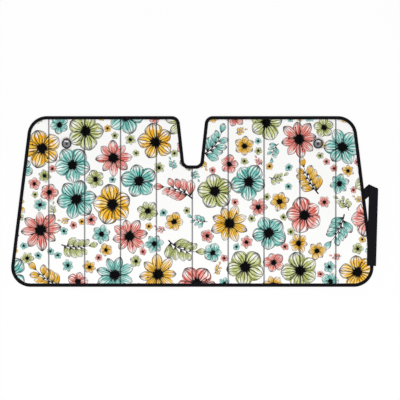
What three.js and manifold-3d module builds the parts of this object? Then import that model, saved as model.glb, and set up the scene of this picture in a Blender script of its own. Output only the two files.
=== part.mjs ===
// Accordion sunshade for a car windscreen, lying opened out with its printed side up.
// Millimetres: +X along the width, +Y towards the roof edge, +Z out of the printed side.
// The origin is on the rear face of the middle crease, at half the height of the shade.
import * as THREE from "three";
import { mergeVertices } from "three/addons/utils/BufferGeometryUtils.js";
import Module from "manifold-3d";

const wasm = await Module();
wasm.setup();

// Outline of the shade, measured outside its binding and between sharp corners
const topWidth = 1326;
const bottomWidth = 1498;
const shadeHeight = 696;
const topCornerRadius = 80;
const bottomCornerRadius = 80;

// Notch in the top edge for the mirror
const notchMouthWidth = 107.5;
const notchFloorWidth = 63.5;
const notchDepth = 201;
const notchMouthRadius = 33;
const notchFloorRadius = 20;

// Accordion folds: pressed creases between equal panels that stand at a small slope
const panelCount = 10;
const creasePitch = 146.2;
const panelTilt = THREE.MathUtils.degToRad(3);
const creaseLand = 4; // flat strip on the rear face along each crease
const grooveFloorWidth = 2.4;
const grooveMouthWidth = 5.6;

// Laminated foam sheet and its pressed hem
const sheetThickness = 4;
const creaseThickness = 1.3;
const hemThickness = 1.5;

// Binding tape folded round the edge
const bindingWidth = 12.5;
const bindingThickness = 0.9;
const bindingEdgeRadius = 1.5;

// Suction cups
const cupPanelsFromMiddle = 3.5;
const cupDrop = 113; // from the top edge to the cup's centre
const cupRadius = 20;
const cupLipWidth = 1.4;
const cupHeight = 10.5; // from the printed face to the lip
const cupDishDepth = 5.5;
const cupWall = 1.1;
const cupBossRadius = 7;
const cupBossHeight = 1.2;
const cupStemRadius = 4.6;
const cupStemHeight = 1.6;
const cupNeckRadius = 4;
const cupKnobRadius = 7;
const cupKnobHeight = 2.5;

// Closing strap with its touch-fastener patches
const strapWidth = 38;
const strapThickness = 1.2;
const strapRootHeight = 29.5; // above half height, where its centre line leaves the edge
const strapRiseAngle = THREE.MathUtils.degToRad(41); // first stretch, from +X towards +Y
const strapLean = THREE.MathUtils.degToRad(1.6); // of the hanging stretch, from -Y towards -X
const strapFoldReach = 48; // from the edge of the shade to the fold
const strapTail = 325; // from the fold to the free end
const strapFoldRadius = 2;
const strapRootTuck = 10; // under the binding
const strapClimb = 150; // length over which the hanging stretch rises onto the shade
const patchThickness = 1.4;
const patchMargin = 2.5; // from the edges of the strap
const hookPatchLength = 50;
const loopPatchLength = 26;

// Clearance between pieces that touch
const seat = 0.3;

const cornerSteps = 10;
const cupSteps = 40;

// Manifold solids from three.js geometry and back
function solid(geometry) {
  const bare = geometry.clone();
  bare.deleteAttribute("normal");
  bare.deleteAttribute("uv");
  const merged = mergeVertices(bare, 1e-4);
  return new wasm.Manifold(
    new wasm.Mesh({
      numProp: 3,
      vertProperties: merged.attributes.position.array,
      triVerts: new Uint32Array(merged.index.array),
    }),
  );
}

function solidFrom(positions, indices) {
  const geometry = new THREE.BufferGeometry();
  geometry.setAttribute("position", new THREE.Float32BufferAttribute(positions, 3));
  geometry.setIndex(indices);
  return solid(geometry);
}

function geometryOf(body) {
  const mesh = body.getMesh();
  const geometry = new THREE.BufferGeometry();
  geometry.setAttribute("position", new THREE.BufferAttribute(mesh.vertProperties, 3));
  geometry.setIndex(new THREE.BufferAttribute(mesh.triVerts, 1));
  geometry.computeVertexNormals();
  return geometry;
}

// Corners of the outline in turn, anticlockwise as seen from the printed side
const top = shadeHeight / 2;
const notchFloor = top - notchDepth;
const corners = [
  { at: new THREE.Vector2(-bottomWidth / 2, -top), radius: bottomCornerRadius },
  { at: new THREE.Vector2(bottomWidth / 2, -top), radius: bottomCornerRadius },
  { at: new THREE.Vector2(topWidth / 2, top), radius: topCornerRadius },
  { at: new THREE.Vector2(notchMouthWidth / 2, top), radius: notchMouthRadius },
  { at: new THREE.Vector2(notchFloorWidth / 2, notchFloor), radius: notchFloorRadius },
  { at: new THREE.Vector2(-notchFloorWidth / 2, notchFloor), radius: notchFloorRadius },
  { at: new THREE.Vector2(-notchMouthWidth / 2, top), radius: notchMouthRadius },
  { at: new THREE.Vector2(-topWidth / 2, top), radius: topCornerRadius },
];

// The outline moved inwards by inset: each corner keeps its centre and only its radius changes,
// so outlines of different insets have the same number of points, one beside the other.
function outline(inset) {
  const points = [];
  corners.forEach(({ at, radius }, i) => {
    const before = corners.at(i - 1).at;
    const after = corners[(i + 1) % corners.length].at;
    const arriving = at.clone().sub(before).normalize();
    const leaving = after.clone().sub(at).normalize();
    const turn = Math.atan2(arriving.cross(leaving), arriving.dot(leaving));
    const side = Math.sign(turn);
    const normalAngle = arriving.angle() - Math.PI / 2;
    const tangentLength = radius * Math.tan(Math.abs(turn) / 2);
    const normal = new THREE.Vector2(Math.cos(normalAngle), Math.sin(normalAngle));
    const centre = at
      .clone()
      .addScaledVector(arriving, -tangentLength)
      .addScaledVector(normal, -side * radius);
    for (let step = 0; step <= cornerSteps; step++) {
      const angle = normalAngle + (turn * step) / cornerSteps;
      const reach = side * (radius - side * inset);
      const outward = new THREE.Vector2(Math.cos(angle), Math.sin(angle));
      points.push(centre.clone().addScaledVector(outward, reach));
    }
  });
  return points;
}

// A flat plate of the outline, between two heights
function plate(inset, low, high) {
  const shape = new THREE.Shape(outline(inset));
  const geometry = new THREE.ExtrudeGeometry(shape, { depth: high - low, bevelEnabled: false });
  return solid(geometry.translate(0, 0, low));
}

// A closed section, as pairs of inset and height, carried right round the outline
function sweep(section) {
  const rings = section.map(([inset, height]) => outline(inset).map((p) => [p.x, p.y, height]));
  const count = rings[0].length;
  const indices = [];
  rings.forEach((ring, i) => {
    const next = ((i + 1) % rings.length) * count;
    for (let j = 0; j < count; j++) {
      const k = (j + 1) % count;
      indices.push(i * count + j, i * count + k, next + k, i * count + j, next + k, next + j);
    }
  });
  return solidFrom(rings.flat(2), indices);
}

// Height of the folded rear face: creases lie low and high in turn, the middle one low
const creaseRise = (creasePitch - creaseLand) * Math.tan(panelTilt);
const middleCrease = Math.floor(panelCount / 2);

function nearestCrease(x) {
  const index = Math.round(x / creasePitch + panelCount / 2);
  return THREE.MathUtils.clamp(index, 1, panelCount - 1);
}

const creaseAt = (index) => (index - panelCount / 2) * creasePitch;
const isHigh = (index) => Math.abs(index - middleCrease) % 2 === 1;

function foldHeight(x) {
  const index = nearestCrease(x);
  const run = Math.max(Math.abs(x - creaseAt(index)) - creaseLand / 2, 0);
  const climb = run * Math.tan(panelTilt);
  return isHigh(index) ? creaseRise - climb : climb;
}

// Cuts a flat solid along the fold lines, shears each strip onto its slope and joins them again
const creases = Array.from({ length: panelCount - 1 }, (_, i) => creaseAt(i + 1));

function lift(body) {
  const mesh = body.getMesh();
  const vertices = Float32Array.from(mesh.vertProperties);
  for (let i = 0; i < vertices.length; i += 3) vertices[i + 2] += foldHeight(vertices[i]);
  return new wasm.Manifold(
    new wasm.Mesh({ numProp: 3, vertProperties: vertices, triVerts: mesh.triVerts }),
  );
}

function fold(flat) {
  const reach = bottomWidth + shadeHeight;
  const lines = creases.flatMap((x) => [x - creaseLand / 2, x + creaseLand / 2]);
  const bounds = [-reach, ...lines, reach];
  const strips = bounds.slice(1).map((right, i) => {
    const left = bounds[i];
    const ends = [[left, -reach], [right, -reach], [right, reach], [left, reach]];
    const face = new THREE.Shape(ends.map(([x, y]) => new THREE.Vector2(x, y)));
    const box = new THREE.ExtrudeGeometry(face, { depth: reach, bevelEnabled: false });
    return flat.intersect(solid(box.translate(0, 0, -reach / 2)));
  });
  const lifted = strips.filter((strip) => !strip.isEmpty()).map(lift);
  return lifted.reduce((joined, strip) => joined.add(strip));
}

// Heights through the edge of the shade, from the rear face
const hemLow = (sheetThickness - hemThickness) / 2;
const hemHigh = hemLow + hemThickness;
const bindingLow = hemLow - seat - bindingThickness;
const bindingHigh = hemHigh + seat + bindingThickness;
const coreInset = bindingWidth + seat;

// Places of the suction cups
const cupX = cupPanelsFromMiddle * creasePitch;
const cupY = top - cupDrop;

// Sheet: full thickness inside the binding, a thin hem under it, pressed creases, cup holes
function grooves() {
  const half = { floor: grooveFloorWidth / 2, mouth: grooveMouthWidth / 2 };
  const section = new THREE.Shape([
    new THREE.Vector2(-half.floor, creaseThickness),
    new THREE.Vector2(half.floor, creaseThickness),
    new THREE.Vector2(half.mouth, sheetThickness),
    new THREE.Vector2(half.mouth, sheetThickness + seat),
    new THREE.Vector2(-half.mouth, sheetThickness + seat),
    new THREE.Vector2(-half.mouth, sheetThickness),
  ]);
  const bar = new THREE.ExtrudeGeometry(section, { depth: shadeHeight, bevelEnabled: false });
  bar.rotateX(Math.PI / 2).translate(0, top, 0);
  const inside = plate(coreInset, 0, sheetThickness + 2 * seat);
  return creases
    .map((x) => solid(bar.clone().translate(x, 0, 0)))
    .reduce((joined, groove) => joined.add(groove))
    .intersect(inside);
}

function cupHole(x) {
  const radius = cupNeckRadius + seat;
  const drill = new THREE.CylinderGeometry(radius, radius, 3 * sheetThickness, cupSteps);
  return solid(drill.rotateX(Math.PI / 2).translate(x, cupY, sheetThickness / 2));
}

function shadeSheet() {
  const flat = plate(coreInset, 0, sheetThickness)
    .add(plate(bindingThickness + seat, hemLow, hemHigh))
    .subtract(grooves())
    .subtract(cupHole(-cupX))
    .subtract(cupHole(cupX));
  return fold(flat);
}

// Binding: one tape with a rounded outer edge, open towards the sheet
function edgeBinding() {
  const round = bindingEdgeRadius * (1 - Math.SQRT1_2);
  const section = [
    [bindingWidth, bindingLow],
    [bindingEdgeRadius, bindingLow],
    [round, bindingLow + round],
    [0, bindingLow + bindingEdgeRadius],
    [0, bindingHigh - bindingEdgeRadius],
    [round, bindingHigh - round],
    [bindingEdgeRadius, bindingHigh],
    [bindingWidth, bindingHigh],
    [bindingWidth, bindingHigh - bindingThickness],
    [bindingThickness, bindingHigh - bindingThickness],
    [bindingThickness, bindingLow + bindingThickness],
    [bindingWidth, bindingLow + bindingThickness],
  ];
  return fold(sweep(section));
}

// Suction cup, turned about its own axis from the knob behind the sheet to the lip in front
function suctionCup() {
  const neckLength = sheetThickness + 2 * seat;
  const stemTop = cupBossHeight + cupStemHeight;
  const dishFloor = cupHeight - cupDishDepth;
  const dishRadius = cupRadius - cupLipWidth;
  const dish = (r) => dishFloor + cupDishDepth * (r / dishRadius) ** 2;
  const steps = 7;
  const bell = Array.from({ length: steps }, (_, i) => {
    const r = THREE.MathUtils.lerp(cupStemRadius, cupRadius, (i + 1) / (steps + 1));
    const flare = 1 - (r - cupStemRadius) / (cupRadius - cupStemRadius);
    return [r, Math.max(dish(r) - cupWall - flare * cupWall, stemTop)];
  });
  const hollow = Array.from({ length: steps }, (_, i) => {
    const r = (dishRadius * (steps - i - 1)) / steps;
    return [r, dish(r)];
  });
  const profile = [
    [0, -neckLength - cupKnobHeight],
    [cupKnobRadius * 0.7, -neckLength - cupKnobHeight],
    [cupKnobRadius, -neckLength - cupKnobHeight / 2],
    [cupKnobRadius, -neckLength],
    [cupNeckRadius, -neckLength],
    [cupNeckRadius, 0],
    [cupBossRadius, 0],
    [cupBossRadius, cupBossHeight],
    [cupStemRadius, stemTop - cupStemHeight / 2],
    ...bell,
    [cupRadius, cupHeight - cupWall],
    [cupRadius, cupHeight],
    [dishRadius, cupHeight],
    ...hollow,
  ];
  const points = profile.map(([r, z]) => new THREE.Vector2(r, z));
  return new THREE.LatheGeometry(points, cupSteps).rotateX(Math.PI / 2);
}

// Strap: its centre line leaves the edge, rises to a fold and comes back down beside the edge.
// A place on it is its length s past the fold and its distance t to the left of the centre line.
const edgeRight = { low: corners[1].at, high: corners[2].at };
const edgeDirection = edgeRight.high.clone().sub(edgeRight.low).normalize();
const edgeNormal = new THREE.Vector2(edgeDirection.y, -edgeDirection.x);
const hangAngle = -Math.PI / 2 - strapLean;
const foldAngle = (strapRiseAngle + hangAngle) / 2;
const foldSkew = strapRiseAngle - foldAngle; // between the strap and its fold line
const foldAlong = new THREE.Vector2(Math.cos(foldAngle), Math.sin(foldAngle));
const foldAcross = new THREE.Vector2(-foldAlong.y, foldAlong.x);
const riseAlong = new THREE.Vector2(Math.cos(strapRiseAngle), Math.sin(strapRiseAngle));
const bendHalf = (Math.PI / 2) * strapFoldRadius; // half the bend, measured along the strap
const strapRoot = edgeRight.low
  .clone()
  .addScaledVector(edgeDirection, (strapRootHeight + top) / edgeDirection.y);
const foldPoint = strapRoot.clone().addScaledVector(riseAlong, strapFoldReach);

const lowerLevel = 2 * seat + patchThickness + strapThickness / 2;
const upperLevel = lowerLevel + 2 * strapFoldRadius;
const underEdge = (x) => foldHeight(x) + bindingLow - seat - strapThickness / 2;
const overSheet = (x) =>
  foldHeight(x) + sheetThickness + 2 * seat + patchThickness + strapThickness / 2;

const outsideEdge = (point) => point.clone().sub(edgeRight.low).dot(edgeNormal);

function strapPoint(s, t) {
  const d = s * Math.sin(foldSkew) + t * Math.cos(foldSkew);
  const along = s * Math.cos(foldSkew) - t * Math.sin(foldSkew);
  const straight = Math.max(Math.abs(d) - bendHalf, 0);
  const bend = THREE.MathUtils.clamp(d, -bendHalf, bendHalf) / strapFoldRadius;
  const across = strapFoldRadius * (Math.cos(bend) - 1) - straight;
  const plan = foldPoint
    .clone()
    .addScaledVector(foldAlong, along)
    .addScaledVector(foldAcross, across);
  let z = lowerLevel + strapFoldRadius * (1 + Math.sin(bend));
  if (d < -bendHalf) {
    const outside = Math.max(outsideEdge(plan), 0);
    const nearEdge = straight / (straight + outside);
    z = THREE.MathUtils.lerp(lowerLevel, underEdge(plan.x), nearEdge * nearEdge);
  } else if (d > bendHalf) {
    const climbed = THREE.MathUtils.smoothstep(straight, 0, strapClimb);
    z = THREE.MathUtils.lerp(upperLevel, overSheet(plan.x), climbed);
  }
  return new THREE.Vector3(plan.x, plan.y, z);
}

function strapNormal(s, t) {
  const step = 0.01;
  const alongStrap = strapPoint(s + step, t).sub(strapPoint(s - step, t));
  const acrossStrap = strapPoint(s, t + step).sub(strapPoint(s, t - step));
  return alongStrap.cross(acrossStrap).normalize();
}

// A line across the strap, as the s of its right and left ends
const lineAcross = (s, slope, half) => [s + slope * half, s - slope * half];
const edgeSkewSlope = riseAlong.clone().rotateAround(new THREE.Vector2(), Math.PI / 2)
  .dot(edgeNormal) / riseAlong.dot(edgeNormal);
const foldSkewSlope = Math.cos(foldSkew) / Math.sin(foldSkew);

function edgeLine(outside, half) {
  const planShift = bendHalf - strapFoldRadius; // plan length lost in the bend
  const s = (outside / riseAlong.dot(edgeNormal)) - strapFoldReach;
  return lineAcross(s - planShift / Math.sin(foldSkew), edgeSkewSlope, half);
}

function bendLine(d, half) {
  return lineAcross(d / Math.sin(foldSkew), foldSkewSlope, half);
}

// A ribbon laid on the strap's middle surface, between lines across it
function ribbon(lines, rowsBetween, half, low, high) {
  const columns = 6;
  const rows = [lines[0]];
  lines.slice(1).forEach((line, i) => {
    const from = lines[i];
    for (let row = 1; row <= rowsBetween[i]; row++) {
      const share = row / rowsBetween[i];
      rows.push(line.map((end, side) => THREE.MathUtils.lerp(from[side], end, share)));
    }
  });
  const positions = [];
  rows.forEach(([right, left]) => {
    for (let column = 0; column <= columns; column++) {
      const share = column / columns;
      const s = THREE.MathUtils.lerp(right, left, share);
      const t = THREE.MathUtils.lerp(-half, half, share);
      const middle = strapPoint(s, t);
      const normal = strapNormal(s, t);
      positions.push(...middle.clone().addScaledVector(normal, low).toArray());
      positions.push(...middle.clone().addScaledVector(normal, high).toArray());
    }
  });
  const at = (row, column, upper) => 2 * (row * (columns + 1) + column) + upper;
  const indices = [];
  const quad = (a, b, c, d) => indices.push(a, b, c, a, c, d);
  for (let i = 0; i < rows.length - 1; i++) {
    for (let j = 0; j < columns; j++) {
      quad(at(i, j, 1), at(i + 1, j, 1), at(i + 1, j + 1, 1), at(i, j + 1, 1));
      quad(at(i, j, 0), at(i, j + 1, 0), at(i + 1, j + 1, 0), at(i + 1, j, 0));
    }
    quad(at(i, 0, 0), at(i + 1, 0, 0), at(i + 1, 0, 1), at(i, 0, 1));
    quad(at(i, columns, 1), at(i + 1, columns, 1), at(i + 1, columns, 0), at(i, columns, 0));
  }
  const last = rows.length - 1;
  for (let j = 0; j < columns; j++) {
    quad(at(0, j, 1), at(0, j + 1, 1), at(0, j + 1, 0), at(0, j, 0));
    quad(at(last, j, 0), at(last, j + 1, 0), at(last, j + 1, 1), at(last, j, 1));
  }
  return solidFrom(positions, indices);
}

function strap() {
  const half = strapWidth / 2;
  const squareAt = strapWidth + 2 * bendHalf;
  const lines = [
    edgeLine(-strapRootTuck, half),
    edgeLine(0, half),
    bendLine(-bendHalf, half),
    bendLine(bendHalf, half),
    [squareAt, squareAt],
    [strapClimb, strapClimb],
    [strapTail, strapTail],
  ];
  return ribbon(lines, [2, 8, 10, 3, 8, 6], half, -strapThickness / 2, strapThickness / 2);
}

// Touch-fastener patches on the faces of the strap that meet when it is wrapped round
const patchHalf = strapWidth / 2 - patchMargin;
const patchNear = strapThickness / 2 + seat;
const patchFar = patchNear + patchThickness;

function hookPatch() {
  const end = strapTail - patchMargin;
  const lines = [[end - hookPatchLength, end - hookPatchLength], [end, end]];
  return ribbon(lines, [4], patchHalf, patchNear, patchFar);
}

function loopPatch() {
  const end = -(bendHalf / Math.sin(foldSkew) + foldSkewSlope * patchHalf + patchMargin);
  const lines = [[end - loopPatchLength, end - loopPatchLength], [end, end]];
  return ribbon(lines, [6], patchHalf, -patchFar, -patchNear);
}

// Scene graph
const printedFilm = new THREE.MeshStandardMaterial({ color: 0xf3f2ee, roughness: 0.45 });
const blackTape = new THREE.MeshStandardMaterial({ color: 0x131216, roughness: 0.85 });
const greyVinyl = new THREE.MeshStandardMaterial({ color: 0x8d8d93, roughness: 0.2 });
const blackWebbing = new THREE.MeshStandardMaterial({ color: 0x1d1b1f, roughness: 0.9 });
const blackFastener = new THREE.MeshStandardMaterial({ color: 0x101012, roughness: 0.95 });

function piece(name, geometry, material) {
  const mesh = new THREE.Mesh(geometry, material);
  mesh.name = name;
  return mesh;
}

function placedCup(name, x) {
  const cup = piece(name, suctionCup(), greyVinyl);
  const step = 1;
  const slope = (foldHeight(x + step) - foldHeight(x - step)) / (2 * step);
  cup.rotation.y = -Math.atan(slope);
  const normal = new THREE.Vector3(-slope, 0, 1).normalize();
  cup.position.set(x, cupY, foldHeight(x) + sheetThickness).addScaledVector(normal, seat);
  return cup;
}

const sunshade = new THREE.Group();
sunshade.add(
  piece("shade_sheet", geometryOf(shadeSheet()), printedFilm),
  piece("edge_binding", geometryOf(edgeBinding()), blackTape),
  placedCup("suction_cup_left", -cupX),
  placedCup("suction_cup_right", cupX),
  piece("strap", geometryOf(strap()), blackWebbing),
  piece("hook_patch", geometryOf(hookPatch()), blackFastener),
  piece("loop_patch", geometryOf(loopPatch()), blackFastener),
);

export default sunshade;
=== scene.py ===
"""Looks of an accordion windscreen sunshade around its frame. Metres, +Z out of the print."""

import math
import random

import bpy
import numpy as np
from mathutils import Matrix, Vector
from mathutils.geometry import delaunay_2d_cdt


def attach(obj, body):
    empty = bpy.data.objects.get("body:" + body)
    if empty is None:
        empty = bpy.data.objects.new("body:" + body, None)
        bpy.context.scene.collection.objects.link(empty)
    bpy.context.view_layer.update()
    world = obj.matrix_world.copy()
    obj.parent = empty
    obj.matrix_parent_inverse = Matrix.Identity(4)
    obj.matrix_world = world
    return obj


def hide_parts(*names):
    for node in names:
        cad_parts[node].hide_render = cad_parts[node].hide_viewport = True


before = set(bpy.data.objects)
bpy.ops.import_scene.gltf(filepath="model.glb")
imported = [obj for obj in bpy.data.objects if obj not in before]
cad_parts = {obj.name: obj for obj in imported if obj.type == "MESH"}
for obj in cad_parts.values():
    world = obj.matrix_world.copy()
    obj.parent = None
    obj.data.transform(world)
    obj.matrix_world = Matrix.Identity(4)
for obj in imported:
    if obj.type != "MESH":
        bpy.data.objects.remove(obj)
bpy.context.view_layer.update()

MM = 0.001

# Outline of the shade, outside its binding and between sharp corners
TOP_WIDTH = 1326 * MM
BOTTOM_WIDTH = 1498 * MM
SHADE_HEIGHT = 696 * MM
CORNER_RADIUS = 80 * MM
NOTCH_MOUTH_WIDTH = 107.5 * MM
NOTCH_FLOOR_WIDTH = 63.5 * MM
NOTCH_DEPTH = 201 * MM
NOTCH_MOUTH_RADIUS = 33 * MM
NOTCH_FLOOR_RADIUS = 20 * MM

# Accordion folds
PANEL_COUNT = 10
CREASE_PITCH = 146.2 * MM
PANEL_SLOPE = math.tan(math.radians(3))
CREASE_LAND = 4 * MM
CREASE_RISE = (CREASE_PITCH - CREASE_LAND) * PANEL_SLOPE
CREASE_GROOVE = (0.9 * MM, 3.2 * MM)  # from its middle, where the foam rises steeply
CREASE_PUFF = (1.5 * MM, 12 * MM)  # and gently
CREASES = [(i - PANEL_COUNT / 2) * CREASE_PITCH for i in range(1, PANEL_COUNT)]
FOLD_LINES = [x + side * CREASE_LAND / 2 for x in CREASES for side in (-1, 1)]
# Lines that give each crease its rounded section
CREASE_STEPS = (0.9, 1.7, 2.4, 3.2, 5.5, 9)
CREASE_ROWS = [x + side * step * MM for x in CREASES for step in CREASE_STEPS for side in (-1, 1)]

# Heights through the sheet and its binding, from the rear face
SHEET_THICKNESS = 4 * MM
CREASE_THICKNESS = 1.3 * MM
HEM_LOW = 1.25 * MM
HEM_HIGH = 2.75 * MM
HEM_INSET = 1.2 * MM
BINDING_LOW = 0.05 * MM
BINDING_HIGH = 3.95 * MM
BINDING_WIDTH = 14 * MM
BINDING_THICKNESS = 0.9 * MM
BINDING_EDGE_RADIUS = 1.9 * MM
SHOULDER = 8 * MM  # over which the foam swells beside the binding
RIPPLE = 0.35 * MM
LOOSE_PITCH = 22 * MM  # of loose mesh points
SEAT = 0.3 * MM

# Suction cups
CUP_X = 3.5 * CREASE_PITCH
CUP_Y = SHADE_HEIGHT / 2 - 113 * MM
CUP_RADIUS = 20 * MM
CUP_HEIGHT = 10.5 * MM
CUP_DISH_RADIUS = 18.6 * MM
CUP_DISH_DEPTH = 4.8 * MM
CUP_RIM_FROM = 14.4 * MM  # the vinyl is thick beyond this radius
CUP_BOSS_TO = 5.2 * MM  # and within this one
CUP_WALL = 1.1 * MM
CUP_HOLE_RADIUS = 4.3 * MM

# Strap
STRAP_WIDTH = 38 * MM
STRAP_THICKNESS = 1.2 * MM
STRAP_ROOT_HEIGHT = 29.5 * MM
STRAP_RISE_ANGLE = math.radians(41)
STRAP_LEAN = math.radians(1.6)
STRAP_FOLD_REACH = 48 * MM
STRAP_TAIL = 325 * MM
STRAP_FOLD_RADIUS = 2 * MM
STRAP_ROOT_TUCK = 10 * MM
STRAP_CLIMB = 150 * MM
PATCH_THICKNESS = 1.4 * MM
PATCH_MARGIN = 2.5 * MM
HOOK_PATCH_LENGTH = 50 * MM
LOOP_PATCH_LENGTH = 26 * MM

# Seams, from the edge that they follow
BINDING_SEAM_INSET = 2.2 * MM
PATCH_SEAM_INSET = 1.8 * MM
ROOT_SEAMS = (3.5 * MM, 7 * MM)

# Print
PRINT_SEED = 11
MOTIFS = ((79 * MM, 6000), (42 * MM, 6000), (27 * MM, 6000), (17 * MM, 4000))  # radius, throws
LARGE_FROM = 60 * MM
SPRIG_FROM = 22 * MM  # smaller motifs are flowers
FLOWER_SHARE = 0.72
MOTIF_SPACING = 0.91  # of the sum of two motifs' radii
HUE_REACH = 1.25  # of that sum, within which hues differ
PETAL_STEP = 2.8 * MM
PETAL_VEINS = 5
PETAL_BULGE = 1.45  # a petal's half width is sin(pi u^BULGE)^BLUNT, u along its length
PETAL_BLUNT = 0.72

# Picture: the photograph's 400 pixels are this wide, and its middle is here
PICTURE_WIDTH = 1630 * MM
PICTURE_CENTRE = (31.4 * MM, 6 * MM)
CAMERA_HEIGHT = 3.0

# Stage and light
FLOOR_SIZE = 30
FLOOR_GAP = 0.2 * MM
FLOOR_GLOW = 0.9
WORLD_LEVEL = 0.53
KEY_PLACE = (-0.2, -3.1, 4.9)
KEY_SIZE = (6.4, 1.3)
KEY_POWER = 219


# Outline and surfaces

def outline_corners():
    top = SHADE_HEIGHT / 2
    floor = top - NOTCH_DEPTH
    half = [
        ((BOTTOM_WIDTH / 2, -top), CORNER_RADIUS),
        ((TOP_WIDTH / 2, top), CORNER_RADIUS),
        ((NOTCH_MOUTH_WIDTH / 2, top), NOTCH_MOUTH_RADIUS),
        ((NOTCH_FLOOR_WIDTH / 2, floor), NOTCH_FLOOR_RADIUS),
    ]
    return half + [((-x, y), radius) for (x, y), radius in reversed(half)]


def outline(inset, corner_steps=10, edge_step=None):
    """Points of the outline moved in by inset, anticlockwise, corners about their own centres."""
    corners = outline_corners()
    arcs = []
    for i, (at, radius) in enumerate(corners):
        at = Vector(at)
        arriving = (at - Vector(corners[i - 1][0])).normalized()
        leaving = (Vector(corners[(i + 1) % len(corners)][0]) - at).normalized()
        turn = math.atan2(arriving.cross(leaving), arriving.dot(leaving))
        side = math.copysign(1, turn)
        start = math.atan2(arriving.y, arriving.x) - math.pi / 2
        centre = at - arriving * radius * math.tan(abs(turn) / 2)
        centre -= heading(start) * side * radius
        reach = side * (radius - side * inset)
        angles = [start + turn * step / corner_steps for step in range(corner_steps + 1)]
        arcs.append([centre + reach * heading(a) for a in angles])
    points = []
    for i, arc in enumerate(arcs):
        points.extend(arc)
        if edge_step:
            points.extend(edge_points(arc[-1], arcs[(i + 1) % len(arcs)][0], edge_step))
    return np.array([tuple(p) for p in points])


def heading(angle):
    return Vector((math.cos(angle), math.sin(angle)))


def edge_points(start, end, edge_step):
    """Points between the ends of a straight edge, on every fold line that it crosses too."""
    count = max(round((end - start).length / edge_step), 1)
    shares = {round(step / count, 6) for step in range(1, count)}
    if abs(end.y - start.y) < MM:
        crossings = [(x - start.x) / (end.x - start.x) for x in FOLD_LINES]
        shares |= {share for share in crossings if 0 < share < 1}
    return [start.lerp(end, share) for share in sorted(shares)]


EDGE = outline(0, 16)


def edge_distance(points):
    """How far each point is from the outline."""
    best = np.full(len(points), np.inf)
    for a, d in zip(EDGE, np.roll(EDGE, -1, axis=0) - EDGE):
        if d @ d == 0:
            continue
        share = np.clip((points - a) @ d / (d @ d), 0, 1)
        gap = points - a - share[:, None] * d
        best = np.minimum(best, np.einsum("ij,ij->i", gap, gap))
    return np.sqrt(best)


def crease_distance(x):
    index = np.clip(np.round(x / CREASE_PITCH + PANEL_COUNT / 2), 1, PANEL_COUNT - 1)
    return np.abs(x - (index - PANEL_COUNT / 2) * CREASE_PITCH), index


def fold_height(x):
    """Height of the folded rear face: creases lie low and high in turn, the middle one low."""
    distance, index = crease_distance(x)
    climb = np.maximum(distance - CREASE_LAND / 2, 0) * PANEL_SLOPE
    return np.where(np.abs(index - PANEL_COUNT // 2) % 2 == 1, CREASE_RISE - climb, climb)


def smooth(value, low, high):
    share = np.clip((value - low) / (high - low), 0, 1)
    return share * share * (3 - 2 * share)


def ripple(points, distance):
    """A slight unevenness of the laminate, none at the creases."""
    x, y = points[:, 0], points[:, 1]
    waves = np.sin(47 * x + 9 * np.sin(5 * y)) * np.sin(13 * y + 3 * np.sin(11 * x))
    return RIPPLE * waves * smooth(distance, 4 * MM, 40 * MM)


def foam_rise(points):
    """0 under the binding, 1 where the foam beside it has its full thickness."""
    return smooth(edge_distance(points), BINDING_WIDTH - MM, BINDING_WIDTH + SHOULDER)


def front_height(points):
    distance, _ = crease_distance(points[:, 0])
    groove = smooth(distance, *CREASE_GROOVE)
    puff = smooth(distance, *CREASE_PUFF)
    pressed = CREASE_THICKNESS + (SHEET_THICKNESS - CREASE_THICKNESS) * (0.8 * groove + 0.2 * puff)
    hemmed = HEM_HIGH + (SHEET_THICKNESS - HEM_HIGH) * foam_rise(points)
    return fold_height(points[:, 0]) + np.minimum(pressed, hemmed) + ripple(points, distance)


def rear_height(points):
    distance, _ = crease_distance(points[:, 0])
    return fold_height(points[:, 0]) + HEM_LOW * (1 - foam_rise(points)) + ripple(points, distance)


def surface_normals(points, height):
    step = 0.05 * MM
    slopes = []
    for offset in ((step, 0), (0, step)):
        slopes.append((height(points + offset) - height(points - offset)) / (2 * step))
    normals = np.column_stack([-slopes[0], -slopes[1], np.ones(len(points))])
    return normals / np.linalg.norm(normals, axis=1)[:, None]


# Print: fields of colour that the triangulated front is cut along

WANTED = {"coral": 0.82, "teal": 1.25, "olive": 0.8, "mustard": 0.86}  # cover of each hue
HUES = tuple(WANTED)
MATERIALS = ("film", *HUES, "ink", "foil", "foam")


def petal_width(share):
    return max(math.sin(math.pi * share ** PETAL_BULGE), 0) ** PETAL_BLUNT


def spine(start, angle, length, bend, count):
    """Points and angles along a line that turns evenly by bend."""
    places = [(start, angle)]
    for i in range(count):
        step = heading(angle + bend * (i + 0.5) / count) * length / count
        places.append((places[-1][0] + step, angle + bend * (i + 1) / count))
    return places


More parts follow.
